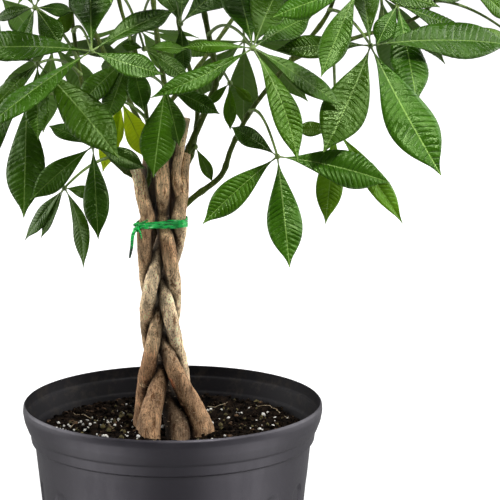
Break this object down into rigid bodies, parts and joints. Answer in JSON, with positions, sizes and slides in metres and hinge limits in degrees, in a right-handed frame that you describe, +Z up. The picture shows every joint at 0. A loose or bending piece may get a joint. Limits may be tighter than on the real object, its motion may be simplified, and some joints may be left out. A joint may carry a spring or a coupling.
{
  "type": "potted plant",
  "caption": "Money tree with braided woody stems, a green ribbon tie and palmate leaves, in a round black nursery pot filled with peat soil.",
  "frame": {"origin": "centre of the pot's flat underside, which rests on the surface", "axes": "+Z up along the plant; +X to the right and +Y away for someone facing the plant's front"},
  "size_m": [0.5971, 0.4623, 0.7738],
  "materials": {
    "pot_plastic": "satin black injection-moulded plastic",
    "peat": "loose dark peat with white perlite, bark bits and root threads",
    "bark": "thin tan bark with lenticels, grey patches and small scars",
    "green_bark": "smooth young green bark, darker towards the root of each shoot",
    "leaf": "satin deep green leaf, quilted between its side veins, pale midrib",
    "young_leaf": "thin yellow-green young leaf",
    "ribbon": "glossy green plastic ribbon, creased"
  },
  "bodies": {
    "root": {"pot": "pot_plastic", "soil": "peat", "tie": "ribbon", "stem_middle": "bark", "stem_right": "bark", "stem_back": "bark", "stem_left": "bark", "stem_rear": "bark", "shoot_right": "green_bark", "shoot_upright": "green_bark", "shoot_arching": "green_bark", "shoot_left": "green_bark", "shoot_inner": "green_bark", "shoot_back": "green_bark", "shoot_rear": "green_bark", "leaf_front_left": "leaf", "leaf_high_left": "leaf", "leaf_young_left": "young_leaf", "leaf_left": "leaf", "leaf_hanging_left": "leaf", "leaf_low_left": "leaf", "leaf_lowest_left": "leaf", "leaf_over_trunk": "leaf", "leaf_inner_left": "leaf", "leaf_backlit": "young_leaf", "leaf_middle": "leaf", "leaf_upper_middle": "leaf", "leaf_sprout": "leaf", "leaf_small": "leaf", "leaf_front": "leaf", "leaf_front_right": "leaf", "leaf_high_right": "leaf", "leaf_folded": "leaf", "leaf_low_front": "leaf", "leaf_low_right": "leaf", "leaf_right": "leaf", "leaf_right_edge": "leaf", "leaf_top_left": "leaf", "leaf_side_left": "leaf", "leaf_crown_left": "leaf", "leaf_top_front": "leaf", "leaf_crown": "leaf", "leaf_top_right": "leaf", "leaf_crown_right": "leaf", "leaf_side_right": "leaf", "leaf_back_right": "leaf", "leaf_behind_right": "leaf", "leaf_crown_back": "leaf", "leaf_rear_left": "leaf", "leaf_rear_high": "leaf", "leaf_rear_low": "leaf", "leaf_behind": "leaf", "leaf_behind_high": "leaf", "leaf_back_low": "leaf", "leaf_back_high": "leaf"}
  },
  "joints": []
}
